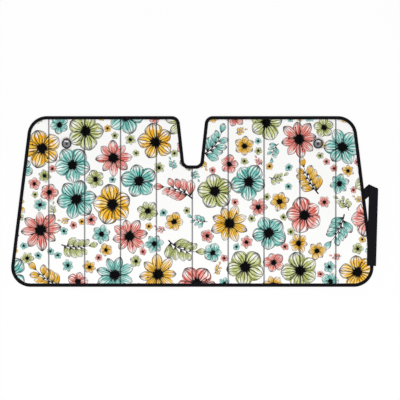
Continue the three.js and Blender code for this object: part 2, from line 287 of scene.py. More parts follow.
class Print:
    """Flat shapes of the pattern, in the order in which they cover each other."""

    def __init__(self):
        self.shapes = []
        self.random = random.Random(PRINT_SEED)

    def add(self, points, kind, origin=Vector((0, 0)), axis=Vector((1, 0)), length=1.0,
            half_width=1.0):
        self.shapes.append({
            "points": points, "kind": MATERIALS.index(kind), "origin": origin, "axis": axis,
            "length": length, "half_width": half_width, "seed": self.random.random(),
        })

    def petal(self, origin, angle, length, half_width, kind):
        """One petal or leaf, from its base along the angle."""
        axis = heading(angle)
        across = axis.orthogonal()
        count = max(10, round(length / PETAL_STEP))
        shares = [(1 - math.cos(math.pi * i / count)) / 2 for i in range(count + 1)]
        widths = [half_width * petal_width(u) for u in shares]
        right = [origin + axis * length * u - across * w for u, w in zip(shares, widths)]
        left = [origin + axis * length * u + across * w for u, w in zip(shares, widths)]
        self.add(right + left[-2:0:-1], kind, origin, axis, length, half_width)

    def blot(self, centre, radius, spikes, turn):
        """An ink blot with uneven spikes."""
        points = []
        for i in range(2 * spikes):
            reach = self.random.uniform(0.7, 1.0) if i % 2 else self.random.uniform(0.42, 0.6)
            points.append(centre + radius * reach * heading(turn + math.pi * i / spikes))
        self.add(points, "ink")

    def stroke(self, places, width):
        """A brush stroke along a spine, thick at its start."""
        sides = [[], []]
        for i, (point, angle) in enumerate(places):
            half = heading(angle).orthogonal() * width * (0.5 - 0.36 * i / len(places))
            sides[0].append(point - half)
            sides[1].append(point + half)
        self.add(sides[0] + sides[1][::-1], "ink")

    def dot(self, centre, radius):
        self.add(circle(centre, radius, 12), "ink")

    def flower(self, centre, radius, hue, petals):
        turn = self.random.uniform(0, 2 * math.pi)
        slot = 2 * math.pi / petals
        for i in range(petals):
            angle = turn + slot * (i + self.random.uniform(-0.09, 0.09))
            length = radius * self.random.uniform(0.86, 1.02)
            half_width = length * math.tan(slot / 2) * self.random.uniform(0.56, 0.68)
            self.petal(centre + heading(angle) * radius * 0.03, angle, length, half_width, hue)
        for i in range(petals):
            if self.random.random() < 0.7:
                bend = self.random.uniform(-0.5, 0.5)
                length = radius * self.random.uniform(0.42, 0.66)
                places = spine(centre, turn + slot * (i + 0.5), length, bend, 6)
                self.stroke(places, radius * 0.048)
                self.dot(places[-1][0], radius * 0.036)
        self.blot(centre, radius * 0.40, petals * 2, turn)

    def sprig(self, centre, radius, hue, pairs):
        """A bent stem with leaves on alternate sides and one at its tip."""
        angle = self.random.uniform(0, 2 * math.pi)
        bend = self.random.uniform(0.4, 1.0) * self.random.choice((-1, 1))
        steps = 2 * pairs + 2
        places = spine(Vector((0, 0)), angle, 1.5 * radius, bend, steps)
        lean = heading(angle + bend / 2) * radius * 0.2
        shift = centre - (places[0][0] + places[-1][0]) / 2 - lean
        places = [(point + shift, turn) for point, turn in places]
        for i in range(1, 2 * pairs + 1):
            foot, turn = places[i]
            leaf = turn + (-1) ** i * self.random.uniform(0.75, 0.95)
            size = radius * (0.82 - 0.14 * i / pairs) * self.random.uniform(0.9, 1.08)
            self.petal(foot, leaf, size, size * 0.29, hue)
        tip, turn = places[-1]
        self.petal(tip, turn, radius * 0.55, radius * 0.17, hue)
        self.stroke(places, radius * 0.07)

    def scatter(self):
        """Places for the motifs, thrown at random, the largest first."""
        placed = []
        reach = Vector((BOTTOM_WIDTH, SHADE_HEIGHT)) / 2
        for radius, throws in MOTIFS:
            for _ in range(throws):
                point = Vector((self.random.uniform(-reach.x, reach.x),
                                self.random.uniform(-reach.y, reach.y)))
                size = radius * self.random.uniform(0.93, 1.07)
                if all((point - at).length > MOTIF_SPACING * (size + far) for at, far in placed):
                    placed.append((point, size))
        return placed

    def hue_for(self, centre, radius, inked):
        """The hue that covers least so far, apart from those of the nearest motifs."""
        covered = dict.fromkeys(HUES, 0.0)
        near = set()
        for other, size, hue in inked:
            covered[hue] += size * size / WANTED[hue]
            if (centre - other).length < HUE_REACH * (radius + size):
                near.add(hue)
        choice = [hue for hue in HUES if hue not in near] or list(HUES)
        return min(choice, key=lambda hue: covered[hue] * self.random.uniform(0.8, 1.25))

    def fill(self):
        inked = []
        for centre, radius in self.scatter():
            hue = self.hue_for(centre, radius, inked)
            inked.append((centre, radius, hue))
            form = self.random.random()
            if radius > LARGE_FROM:
                flowers, pairs = (5, 6, 5, 8), 4
            elif radius > SPRIG_FROM:
                flowers, pairs = (5, 6), 3
            else:
                flowers, pairs = (5,), 0
            if form < FLOWER_SHARE or not pairs:
                self.flower(centre, radius, hue, self.random.choice(flowers))
            else:
                self.sprig(centre, radius, hue, pairs)
        return self.shapes


# Laminate: one closed mesh, its front cut along the print

def circle(centre, radius, count=32):
    return [centre + radius * heading(2 * math.pi * i / count) for i in range(count)]


def triangulate(polygons, edge_lines, loose):
    """Triangles between the polygons' outlines, each with the polygons that it lies in."""
    points, faces, edges = [], [], []
    for polygon in polygons:
        faces.append(list(range(len(points), len(points) + len(polygon))))
        points.extend(Vector(p) for p in polygon)
    for line in edge_lines:
        edges.extend((len(points) + i, len(points) + i + 1) for i in range(len(line) - 1))
        points.extend(Vector(p) for p in line)
    points.extend(Vector(p) for p in loose)
    made = delaunay_2d_cdt(points, edges, faces, 1, 1e-8)
    return np.array([tuple(p) for p in made[0]]), made[2], made[3], made[5]


def inner_points(spacing):
    """Loose points over the sheet, clear of its edge and of the crease rows."""
    x = np.arange(-BOTTOM_WIDTH / 2, BOTTOM_WIDTH / 2, spacing)
    y = np.arange(-SHADE_HEIGHT / 2, SHADE_HEIGHT / 2, spacing * 0.87)
    grid = np.array([(a + spacing / 2 * (j % 2), b) for j, b in enumerate(y) for a in x])
    clear = crease_distance(grid[:, 0])[0] > CREASE_PUFF[1]
    return within(grid[clear], spacing)


def within(points, margin):
    """The points inside the outline by more than the margin."""
    inside = np.zeros(len(points), bool)
    x, y = points[:, 0], points[:, 1]
    for (ax, ay), (bx, by) in zip(EDGE, np.roll(EDGE, -1, axis=0)):
        crosses = (ay > y) != (by > y)
        if crosses.any():
            at = ax + (y - ay) / (by - ay if by != ay else 1) * (bx - ax)
            inside ^= crosses & (x < at)
    return points[inside & (edge_distance(points) > margin)]


def rim_edges(faces):
    """Directed edges with no opposite: the outline and the holes of a set of triangles."""
    directed = {(f[i], f[(i + 1) % 3]) for f in faces for i in range(3)}
    return [edge for edge in directed if (edge[1], edge[0]) not in directed]


def rim_loops(edges):
    after = dict(edges)
    loops = []
    while after:
        start, point = after.popitem()
        loop = [start]
        while point != start:
            loop.append(point)
            point = after.pop(point)
        loops.append(loop)
    return loops


def laminate():
    shapes = Print().fill()
    hem = outline(HEM_INSET, 12, 25 * MM)
    holes = [circle(Vector((side * CUP_X, CUP_Y)), CUP_HOLE_RADIUS) for side in (-1, 1)]
    rings = [outline(BINDING_WIDTH + depth * MM, 12) for depth in (-1, 0.6, 2.2, 4, 6, 8)]
    lines = [np.vstack([ring, ring[:1]]) for ring in rings]
    lines += [[(x, -SHADE_HEIGHT), (x, SHADE_HEIGHT)] for x in CREASE_ROWS]
    polygons = [hem, *holes, *(shape["points"] for shape in shapes)]
    points, faces, _, parents = triangulate(polygons, lines, inner_points(LOOSE_PITCH))

    front, kinds, owners = [], [], []
    first = 1 + len(holes)
    for face, inside in zip(faces, parents):
        if 0 not in inside or any(0 < number < first for number in inside):
            continue
        over = max((number for number in inside if number >= first), default=None)
        front.append(face)
        owners.append(-1 if over is None else over - first)
        kinds.append(0 if over is None else shapes[over - first]["kind"])

    outer, *inner = sorted(rim_loops(rim_edges(front)), key=len, reverse=True)
    loops = [outer] + [loop[::-1] for loop in inner]  # all anticlockwise
    ring = [number for loop in loops for number in loop]
    rim = [points[loop] for loop in loops]
    rows = np.array([(x, y) for x in CREASE_ROWS
                     for y in np.arange(-SHADE_HEIGHT / 2, SHADE_HEIGHT / 2, LOOSE_PITCH / 2)])
    swell = np.vstack([outline(BINDING_WIDTH + depth * MM, 12, 25 * MM) for depth in (-1, 2, 5, 8)])
    loose = np.vstack([inner_points(LOOSE_PITCH), within(rows, 6 * MM), swell])
    rear_points, rear_faces, rear_from, rear_parents = triangulate(rim, [], loose)
    rear = [face for face, inside in zip(rear_faces, rear_parents) if inside == [0]]
    rear_of = {source: number for number, sources in enumerate(rear_from) for source in sources}

    vertices = np.vstack([
        np.column_stack([points, front_height(points)]),
        np.column_stack([rear_points, rear_height(rear_points)]),
    ])
    shift = len(points)
    under = {number: shift + rear_of[i] for i, number in enumerate(ring)}
    walls = [(a, under[a], under[b], b) for a, b in rim_edges(front)]
    polygons = front + [[shift + n for n in reversed(face)] for face in rear] + walls
    kinds += [MATERIALS.index("foil")] * len(rear) + [MATERIALS.index("foam")] * len(walls)

    normals = np.vstack([surface_normals(points, front_height),
                         -surface_normals(rear_points, rear_height)])
    corner_normals = [tuple(normals[n]) for face in polygons[:len(front) + len(rear)] for n in face]
    for a, _, _, d in walls:
        run = vertices[d] - vertices[a]
        out = Vector((run[1], -run[0], 0)).normalized()
        corner_normals += [tuple(out)] * 4

    used = sorted({n for face in polygons for n in face})
    number_of = {old: new for new, old in enumerate(used)}
    faces = [[number_of[n] for n in face] for face in polygons]
    mesh = new_mesh("printed_laminate", vertices[used].tolist(), faces)
    mesh.polygons.foreach_set("material_index", kinds)
    places = petal_places(vertices, polygons, owners, shapes)
    mesh.attributes.new("petal", "FLOAT_VECTOR", "CORNER").data.foreach_set("vector", places)
    mesh.normals_split_custom_set(corner_normals)
    return place("printed_laminate", mesh, "printed_laminate", MATERIALS)


def petal_places(vertices, polygons, owners, shapes):
    """For each corner on a petal, its place along and across that petal, and the petal's seed."""
    places = []
    for number, face in enumerate(polygons):
        owner = owners[number] if number < len(owners) else -1
        if owner < 0:
            places.extend([0.0] * 3 * len(face))
            continue
        shape = shapes[owner]
        for n in face:
            away = Vector(vertices[n][:2]) - shape["origin"]
            along = away.dot(shape["axis"]) / shape["length"]
            across = shape["axis"].cross(away) / shape["half_width"]
            places.extend((along, across, shape["seed"]))
    return places


# Materials

def linear(*srgb):
    """A colour written as in the photograph, 0 to 255, as the shader's own numbers."""
    values = [channel / 255 for channel in srgb]
    return (*[v / 12.92 if v <= 0.04045 else ((v + 0.055) / 1.055) ** 2.4 for v in values], 1)


class Graph:
    """The nodes of a new material or world, and short calls for them."""

    def __init__(self, name, world=False, **shader):
        self.owner = (bpy.data.worlds if world else bpy.data.materials).new(name)
        self.owner.use_nodes = True
        self.tree = self.owner.node_tree
        self.shader = self.tree.nodes["Background" if world else "Principled BSDF"]
        for socket, value in shader.items():
            self.shader.inputs[socket.replace("_", " ")].default_value = value

    def put(self, socket, value):
        if isinstance(value, bpy.types.NodeSocket):
            self.tree.links.new(value, socket)
        else:
            socket.default_value = value

    def node(self, kind, inputs=(), **settings):
        node = self.tree.nodes.new(kind)
        for name, value in settings.items():
            setattr(node, name, value)
        for socket, value in dict(inputs).items():
            self.put(node.inputs[socket], value)
        return node

    def math(self, operation, *values):
        return self.node("ShaderNodeMath", dict(enumerate(values)), operation=operation).outputs[0]

    def times(self, a, b, plus=None):
        """a b, or a b + plus."""
        if plus is None:
            return self.math("MULTIPLY", a, b)
        return self.math("MULTIPLY_ADD", a, b, plus)

    def minus(self, a, b):
        return self.math("SUBTRACT", a, b)

    def most(self, a, b):
        return self.math("MAXIMUM", a, b)

    def apart(self, value, pitch):
        """How far a value is from the nearest multiple of the pitch."""
        turns = self.math("FRACT", self.times(value, 1 / pitch, 0.5))
        return self.times(self.math("ABSOLUTE", self.minus(turns, 0.5)), pitch)

    def smooth(self, value, low, high, start=0.0, end=1.0):
        inputs = {0: value, 1: low, 2: high, 3: start, 4: end}
        node = self.node("ShaderNodeMapRange", inputs, interpolation_type="SMOOTHSTEP")
        return node.outputs[0]

    def mix(self, share, a, b, blend="MIX"):
        node = self.node("ShaderNodeMix", {"Factor": share}, data_type="RGBA", blend_type=blend)
        self.put(node.inputs[6], a)
        self.put(node.inputs[7], b)
        return node.outputs[2]

    def vector(self, x, y, z=0.0):
        return self.node("ShaderNodeCombineXYZ", {0: x, 1: y, 2: z}).outputs[0]

    def split(self, vector):
        return self.node("ShaderNodeSeparateXYZ", {0: vector}).outputs

    def place(self):
        return self.node("ShaderNodeTexCoord").outputs["Object"]

    def attribute(self, name, output="Vector"):
        return self.node("ShaderNodeAttribute", attribute_name=name).outputs[output]

    def seen(self):
        """1 for a ray that the camera sees, in a mirror or through glass too."""
        rays = self.node("ShaderNodeLightPath").outputs
        seen = self.most(rays["Is Camera Ray"], rays["Is Glossy Ray"])
        return self.most(seen, rays["Is Transmission Ray"])

    def noise(self, vector, scale, detail=2.0, rough=0.5):
        inputs = {"Vector": vector, "Scale": scale, "Detail": detail, "Roughness": rough}
        return self.node("ShaderNodeTexNoise", inputs).outputs[0]

    def cells(self, vector, scale):
        return self.node("ShaderNodeTexVoronoi", {"Vector": vector, "Scale": scale}).outputs[0]

    def bump(self, height, distance, strength=1.0, normal=None):
        inputs = {"Height": height, "Distance": distance, "Strength": strength}
        if normal is not None:
            inputs["Normal"] = normal
        return self.node("ShaderNodeBump", inputs).outputs[0]

    def finish(self, colour=None, roughness=None, normal=None):
        for name, value in (("Base Color", colour), ("Roughness", roughness), ("Normal", normal)):
            if value is not None:
                self.put(self.shader.inputs[name], value)
        return self.owner


PAPER = linear(251, 251, 249)
INK = linear(4, 3, 5)
TINTS = {
    "coral": (linear(249, 170, 157), linear(233, 110, 99)),
    "teal": (linear(160, 225, 216), linear(92, 180, 170)),
    "olive": (linear(213, 219, 150), linear(168, 177, 93)),
    "mustard": (linear(252, 205, 62), linear(236, 169, 4)),
}


def crease_shade_mask(graph, place, near, far):
    """Mask of the painted crease shade: 1 up to near from the middle of each crease, fading to 0 at
    far.
    """
    distance = graph.apart(graph.split(place)[0], CREASE_PITCH)
    return graph.smooth(distance, near, far, 1.0, 0.0)


def film_surface(graph, colour):
    """Satin film over foam, with painted shade along the pressed creases."""
    place = graph.place()
    # uneven strength of the painted crease shade
    uneven_shade = graph.noise(place, 90, 3)
    line = crease_shade_mask(graph, place, 1.5 * MM, 4.2 * MM)
    line = graph.times(line, graph.times(uneven_shade, 0.25, 0.66))
    # painted shade: the colour is multiplied darker along each crease
    colour = graph.mix(line, colour, linear(84, 82, 92), "MULTIPLY")
    normal = graph.bump(graph.cells(place, 330), 0.05 * MM, 0.35)
    normal = graph.bump(graph.noise(place, 26), 0.8 * MM, 0.35, normal)
    roughness = graph.smooth(graph.noise(place, 60), 0.3, 0.7, 0.38, 0.48)
    return graph.finish(colour, roughness, normal)


def film_material(name, gloss, scale, dark, light):
    """Film of one colour, with a faint tone in it."""
    graph = Graph(name, Specular_IOR_Level=gloss)
    return film_surface(graph, graph.mix(graph.noise(graph.place(), scale), dark, light))


def petal_material(hue):
    """Watercolour petal: streaks of colour that thin out to the tip, with ink veins and rim."""
    graph = Graph(hue, Specular_IOR_Level=0.2)
    times, fade, most, noise = graph.times, graph.smooth, graph.most, graph.noise
    along, across, seed = graph.split(graph.attribute("petal"))
    along = most(along, 0.001)
    arch = graph.math("SINE", times(graph.math("POWER", along, PETAL_BULGE), math.pi))
    width = graph.math("POWER", most(arch, 0.0001), PETAL_BLUNT)
    part = graph.math("DIVIDE", across, most(width, 0.05))
    drift = noise(graph.vector(along, across, times(seed, 37.0)), 3.0)
    part = graph.math("ADD", part, times(drift, 0.3, -0.15))

    grain = graph.vector(times(part, 4.5), times(along, 1.3), times(seed, 61.0))
    streaks = noise(grain, 1.0, 3, 0.55)
    thin = fade(along, 0.30, 1.0, 0.28, 0.57)
    fill = fade(graph.minus(streaks, thin), -0.05, 0.07)
    pale, deep = TINTS[hue]
    pool = noise(graph.vector(along, across, times(seed, 17.0)), 2.2, 3)
    colour = graph.mix(fade(pool, 0.35, 0.65), pale, deep)
    wash = fade(times(streaks, 0.6, pool), 0.58, 0.86, 0.72, 1.0)
    colour = graph.mix(times(fill, wash), PAPER, colour)
    shade = fade(times(streaks, 0.3, along), 0.84, 1.16)
    shade = times(shade, fade(seed, 0.30, 0.42, 0.0, 0.8))
    colour = graph.mix(shade, colour, (*[channel * 0.12 for channel in deep[:3]], 1))

    gap = times(graph.apart(part, 2 / PETAL_VEINS), width)
    vein_width = fade(along, 0.1, 0.9, 0.086, 0.048)
    vein = fade(gap, times(vein_width, 0.4), vein_width, 0.92, 0.0)
    edge = times(graph.minus(1.0, graph.math("ABSOLUTE", part)), width)
    rim_width = fade(drift, 0.3, 0.7, 0.065, 0.14)
    rim = fade(edge, times(rim_width, 0.35), rim_width, 0.92, 0.0)
    tip = fade(times(streaks, 0.25, along), 0.98, 1.12)
    tip = times(tip, fade(seed, 0.45, 0.55))
    root = fade(times(streaks, -0.35, along), 0.0, 0.12, 1.0, 0.0)
    ink = most(most(vein, rim), most(tip, root))
    return film_surface(graph, graph.mix(ink, colour, INK))


def foil_material():
    """Metallised rear film, embossed by the foam and crinkled, with the shade of its emboss,
    crinkles and creases painted into its colour.
    """
    graph = Graph("foil", Metallic=1.0)
    place = graph.place()
    crinkle = graph.noise(place, 75, 4, 0.65)
    emboss = graph.cells(place, 260)
    # painted shade: the colour darkens and lightens with the emboss cells and crinkles
    tone = graph.times(emboss, -0.35, graph.smooth(crinkle, 0.35, 0.65, 0.2, 1.0))
    colour = graph.mix(tone, linear(199, 201, 205), linear(224, 226, 229))
    # painted shade along each crease
    line = graph.times(crease_shade_mask(graph, place, 0.6 * MM, 2.6 * MM), 0.6)
    colour = graph.mix(line, colour, linear(136, 137, 143))
    normal = graph.bump(emboss, 0.12 * MM, 0.5)
    normal = graph.bump(crinkle, 0.9 * MM, 0.6, normal)
    return graph.finish(colour, graph.smooth(crinkle, 0.3, 0.7, 0.26, 0.4), normal)


def foam_material():
    graph = Graph("foam")
    cells = graph.cells(graph.place(), 900)
    colour = graph.mix(cells, linear(214, 214, 210), linear(240, 240, 238))
    return graph.finish(colour, 0.9, graph.bump(cells, 0.2 * MM, 0.6))


def cloth_material(name, dark, light, rib, rough, selvedge):
    """Black woven tape: ribs across it and threads along it, from the piece's weave coordinates."""
    graph = Graph(name, Specular_IOR_Level=0.06, Sheen_Weight=0.02, Sheen_Roughness=0.5)
    along, across, _ = graph.split(graph.node("ShaderNodeUVMap", uv_map="weave").outputs[0])
    rows = graph.math("SINE", graph.times(along, 2 * math.pi / rib))
    half_step = graph.times(graph.math("FRACT", graph.times(along, 0.5 / rib)), math.pi)
    threads = graph.times(across, 2 * math.pi / (0.7 * rib), half_step)
    woven = graph.times(graph.times(rows, graph.math("SINE", threads)), 0.5, 0.5)
    fuzz = graph.noise(graph.place(), 1400)
    tone = graph.times(woven, 0.6, graph.times(fuzz, 0.4))
    edge = graph.smooth(graph.math("ABSOLUTE", across), selvedge - 0.8 * MM, selvedge, 1.0, 0.45)
    colour = graph.mix(graph.times(tone, edge), dark, light)
    normal = graph.bump(woven, 0.16 * MM, 0.8)
    normal = graph.bump(fuzz, 0.05 * MM, 0.5, normal)
    return graph.finish(colour, graph.smooth(tone, 0.2, 0.9, rough + 0.08, rough - 0.06), normal)


def thread_material():
    graph = Graph("thread", Specular_IOR_Level=0.2, Sheen_Weight=0.1)
    fibre = graph.noise(graph.place(), 2600)
    colour = graph.mix(fibre, linear(18, 17, 20), linear(48, 47, 52))
    return graph.finish(colour, 0.55, graph.bump(fibre, 0.04 * MM, 0.6))


def vinyl_material(name, gloss):
    """Smoky soft vinyl, by the reach from its axis: dark in its thick outer ring and stem."""
    graph = Graph(name, IOR=1.53, Transmission_Weight=0.12, Specular_IOR_Level=gloss)
    reach = graph.attribute("reach", "Fac")
    cloud = graph.noise(graph.place(), 220)
    clear = graph.mix(cloud, linear(98, 98, 106), linear(128, 128, 136))
    ring = graph.smooth(reach, 13.6 * MM, 15.4 * MM)
    stem = graph.smooth(reach, 3.8 * MM, 5.4 * MM, 1.0, 0.0)
    colour = graph.mix(graph.most(ring, stem), clear, linear(8, 7, 10))
    colour = graph.mix(graph.smooth(reach, 19 * MM, 19.6 * MM, 0, 0.3), colour, linear(78, 77, 84))
    roughness = graph.smooth(cloud, 0.3, 0.7, 0.09, 0.15)
    return graph.finish(colour, roughness, graph.bump(cloud, 0.05 * MM, 0.3))


def fastener_material():
    """Hook and loop tape: a fine field of knots."""
    graph = Graph("fastener", Specular_IOR_Level=0.2, Sheen_Weight=0.15)
    knots = graph.cells(graph.place(), 1400)
    colour = graph.mix(knots, linear(34, 33, 36), linear(8, 8, 9))
    return graph.finish(colour, 0.95, graph.bump(knots, 0.3 * MM, 0.9))


MAKERS = {
    **{hue: (petal_material, hue) for hue in HUES},
    "film": (film_material, "film", 0.35, 14, linear(249, 249, 247), linear(253, 253, 252)),
    "ink": (film_material, "ink", 0.03, 120, linear(2, 2, 3), linear(8, 7, 9)),
    "foil": (foil_material,),
    "foam": (foam_material,),
    "thread": (thread_material,),
    "fastener": (fastener_material,),
    "vinyl": (vinyl_material, "vinyl", 1.0),
    "vinyl_rim": (vinyl_material, "vinyl_rim", 0.15),
    "binding": (cloth_material, "binding", linear(2, 1, 3), linear(21, 19, 25),
                1.1 * MM, 0.72, 1.0),  # its selvedge is folded in
    "webbing": (cloth_material, "webbing", linear(3, 2, 5), linear(31, 29, 34),
                1.6 * MM, 0.78, STRAP_WIDTH / 2 - 1.6 * MM),
}
FINISHES = {}


def finish_of(name):
    """The material of a name, made once."""
    if name not in FINISHES:
        maker, *values = MAKERS[name]
        FINISHES[name] = maker(*values)
    return FINISHES[name]


# Placing pieces

def linked(name, data):
    item = bpy.data.objects.new(name, data)
    bpy.context.scene.collection.objects.link(item)
    return item


def new_mesh(name, vertices, faces):
    mesh = bpy.data.meshes.new(name)
    mesh.from_pydata(vertices, [], faces)
    mesh.polygons.foreach_set("use_smooth", [True] * len(faces))
    return mesh


def place(name, mesh, slot, finishes):
    piece = linked(name, mesh)
    for finish in finishes:
        mesh.materials.append(finish_of(finish))
    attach(piece, "root")
    return piece


def tube_faces(count, ring, closed=False):
    """Faces over rings of points, capped or closed, each corner a ring and a place on it."""
    faces = [((i, j), (i, j + 1), (i + 1, j + 1), (i + 1, j))
             for i in range(count if closed else count - 1) for j in range(ring)]
    if not closed:
        faces.append([(0, j) for j in reversed(range(ring))])
        faces.append([(count - 1, j) for j in range(ring)])
    return faces


def tube_mesh(name, rows, weave, closed=False, sharp=50):
    """A mesh over rings of points. Weave holds each point's place on the cloth, and one more
    column, and row if closed, for where the rings close."""
    rows = np.asarray(rows)
    count, ring = rows.shape[:2]
    corners = tube_faces(count, ring, closed)
    faces = [[i % count * ring + j % ring for i, j in face] for face in corners]
    mesh = new_mesh(name, rows.reshape(-1, 3).tolist(), faces)
    values = [value for face in corners for i, j in face for value in weave[i][j]]
    mesh.uv_layers.new(name="weave").data.foreach_set("uv", values)
    mesh.set_sharp_from_angle(angle=math.radians(sharp))
    return mesh


def lengths(points):
    """Running length at each point of a closed line, with one more value where it closes."""
    points = np.asarray(points)
    ends = np.vstack([points, points[:1]])
    return np.concatenate([[0], np.cumsum(np.linalg.norm(np.diff(ends, axis=0), axis=1))])


# Sewing

def stitch(points, normal, radius, sides=6):
    """Rings of points round one thread, thinner at its ends."""
    along = (points[-1] - points[0]).normalized()
    across = normal.cross(along).normalized()
    turns = [2 * math.pi * k / sides for k in range(sides)]
    rings = []
    for i, point in enumerate(points):
        swell = radius * math.sin(math.pi * (0.15 + 0.7 * i / (len(points) - 1)))
        rings.append([point + swell * (math.cos(a) * across + math.sin(a) * normal) for a in turns])
    return rings


def seam(name, slot, stitches):
    """One piece of many short threads."""
    vertices, faces = [], []
    for rings in stitches:
        base, ring = len(vertices), len(rings[0])
        vertices.extend(tuple(p) for points in rings for p in points)
        for face in tube_faces(len(rings), ring):
            faces.append([base + i * ring + j % ring for i, j in face])
    return place(name, new_mesh(name, vertices, faces), slot, ["thread"])


# Binding and its seam

def binding():
    low, high, radius = BINDING_LOW, BINDING_HIGH, BINDING_EDGE_RADIUS
    thick = BINDING_THICKNESS
    steps = [math.pi / 2 * i / 5 for i in range(6)]
    lower = [(radius * (1 - math.sin(a)), low + radius * (1 - math.cos(a))) for a in steps]
    upper = [(inset, low + high - height) for inset, height in reversed(lower)]
    hem = 0.35 * MM
    section = [
        (BINDING_WIDTH - hem, low), (BINDING_WIDTH / 2, low), *lower, *upper,
        (BINDING_WIDTH / 2, high), (BINDING_WIDTH - hem, high),
        (BINDING_WIDTH, high - hem), (BINDING_WIDTH, high - thick),
        (thick, high - thick), (thick, low + thick),
        (BINDING_WIDTH, low + thick), (BINDING_WIDTH, low + hem),
    ]
    lines = []
    for inset, height in section:
        line = outline(inset, 24, 10 * MM)
        lines.append(np.column_stack([line, fold_height(line[:, 0]) + height]))
    rings = np.transpose(np.array(lines), (1, 0, 2))[:, ::-1]
    along = lengths(outline(0, 24, 10 * MM))
    across = lengths(section)[::-1]
    weave = np.stack(np.meshgrid(along, across, indexing="ij"), axis=2)
    mesh = tube_mesh("edge_tape", rings, weave, closed=True)
    piece = place("edge_tape", mesh, "binding_tape", ["binding"])
    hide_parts("edge_binding")


def binding_seam():
    pitch, length, radius = 4.2 * MM, 3.3 * MM, 0.28 * MM
    path = outline(BINDING_WIDTH - BINDING_SEAM_INSET, 24, 40 * MM)
    run = lengths(path)
    path = np.vstack([path, path[:1]])
    count = int(run[-1] / pitch)
    sink = radius * np.array([0.75, 0.15, 0.15, 0.75])
    stitches = []
    for height, up in ((BINDING_HIGH, 1), (BINDING_LOW, -1)):
        for i in range(count):
            at = i * run[-1] / count + np.linspace(0, length, 4)
            x, y = np.interp(at, run, path[:, 0]), np.interp(at, run, path[:, 1])
            z = fold_height(x) + height - up * sink
            if up < 0:
                z = np.maximum(z, radius)
            points = [Vector(p) for p in zip(x, y, z)]
            stitches.append(stitch(points, Vector((0, 0, up)), radius))
    seam("binding_seam", "binding_tape", stitches)


# Suction cups

def cup_profile():
    """Half section of the cup, from the knob behind the sheet to the lip and back to the axis."""
    neck = SHEET_THICKNESS + 2 * SEAT
    floor = CUP_HEIGHT - CUP_DISH_DEPTH
    lower = [
        (0, -2.5), (3.5, -2.45), (5.2, -2.2), (6.4, -1.6),
        (6.95, -0.8), (6.9, -0.25), (6.6, 0), (4, 0),
    ]
    boss = [
        (3.9, -2.3), (4, 0), (6.7, 0), (7, 0.3), (7, 0.9),
        (6.6, 1.2), (5, 1.7), (4.6, 2.2), (4.9, 2.8),
    ]
    points = [(r * MM, z * MM - neck) for r, z in lower] + [(r * MM, z * MM) for r, z in boss]

    def dish(r):
        return floor + CUP_DISH_DEPTH * (r / CUP_DISH_RADIUS) ** 2

    for i in range(1, 13):
        share = i / 12
        r = 4.9 * MM + (CUP_RADIUS - 0.3 * MM - 4.9 * MM) * share
        points.append((r, max(dish(r) - CUP_WALL * (2 - share), 2.85 * MM)))
    points += [
        (CUP_RADIUS, CUP_HEIGHT - 0.9 * MM), (CUP_RADIUS, CUP_HEIGHT - 0.25 * MM),
        (CUP_RADIUS - 0.25 * MM, CUP_HEIGHT), (CUP_DISH_RADIUS + 0.3 * MM, CUP_HEIGHT),
    ]
    steps = 30
    for i in range(steps, -1, -1):
        r = CUP_DISH_RADIUS * i / steps
        dimple = 0.6 * MM * (1 - smooth(r, 1.5 * MM, 3 * MM))
        bead = 0.22 * MM * (smooth(r, 14.3 * MM, 14.9 * MM) - smooth(r, 15.1 * MM, 15.7 * MM))
        points.append((r, float(dish(r) - dimple + bead - 0.1 * MM * (i == steps))))
    return points


def cup(side, name, node):
    """A cup turned about its axis, square to its panel."""
    steps = 96
    slope = -side * PANEL_SLOPE
    foot = Vector((side * CUP_X, CUP_Y, float(fold_height(CUP_X)) + SHEET_THICKNESS))
    turn = Matrix.Rotation(-math.atan(slope), 4, "Y")
    turn.translation = foot + Vector((-slope, 0, 1)).normalized() * SEAT
    (_, lowest), *inner, (_, highest) = cup_profile()
    places = [(r, r * math.cos(a), r * math.sin(a), z)
              for a in np.linspace(0, 2 * math.pi, steps + 1)[:-1] for r, z in inner]
    places += [(0, 0, 0, lowest), (0, 0, 0, highest)]
    ring, faces = len(inner), []
    for i in range(steps):
        j = (i + 1) % steps
        for k in range(ring - 1):
            faces.append([i * ring + k, j * ring + k, j * ring + k + 1, i * ring + k + 1])
        faces.append([steps * ring, j * ring, i * ring])
        faces.append([steps * ring + 1, i * ring + ring - 1, j * ring + ring - 1])
    mesh = new_mesh(name, [tuple(turn @ Vector(p[1:])) for p in places], faces)
    mesh.attributes.new("reach", "FLOAT", "POINT").data.foreach_set("value", [p[0] for p in places])
    reaches = [[places[n][0] for n in face] for face in faces]
    thick = [min(r) > CUP_RIM_FROM or max(r) < CUP_BOSS_TO for r in reaches]
    mesh.polygons.foreach_set("material_index", np.array(thick, dtype=int))
    mesh.set_sharp_from_angle(angle=math.radians(55))
    piece = place(name, mesh, "clear_vinyl", ["vinyl", "vinyl_rim"])
    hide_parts(node)


# Strap: a place on it is its length s past the fold and its distance t left of its centre line

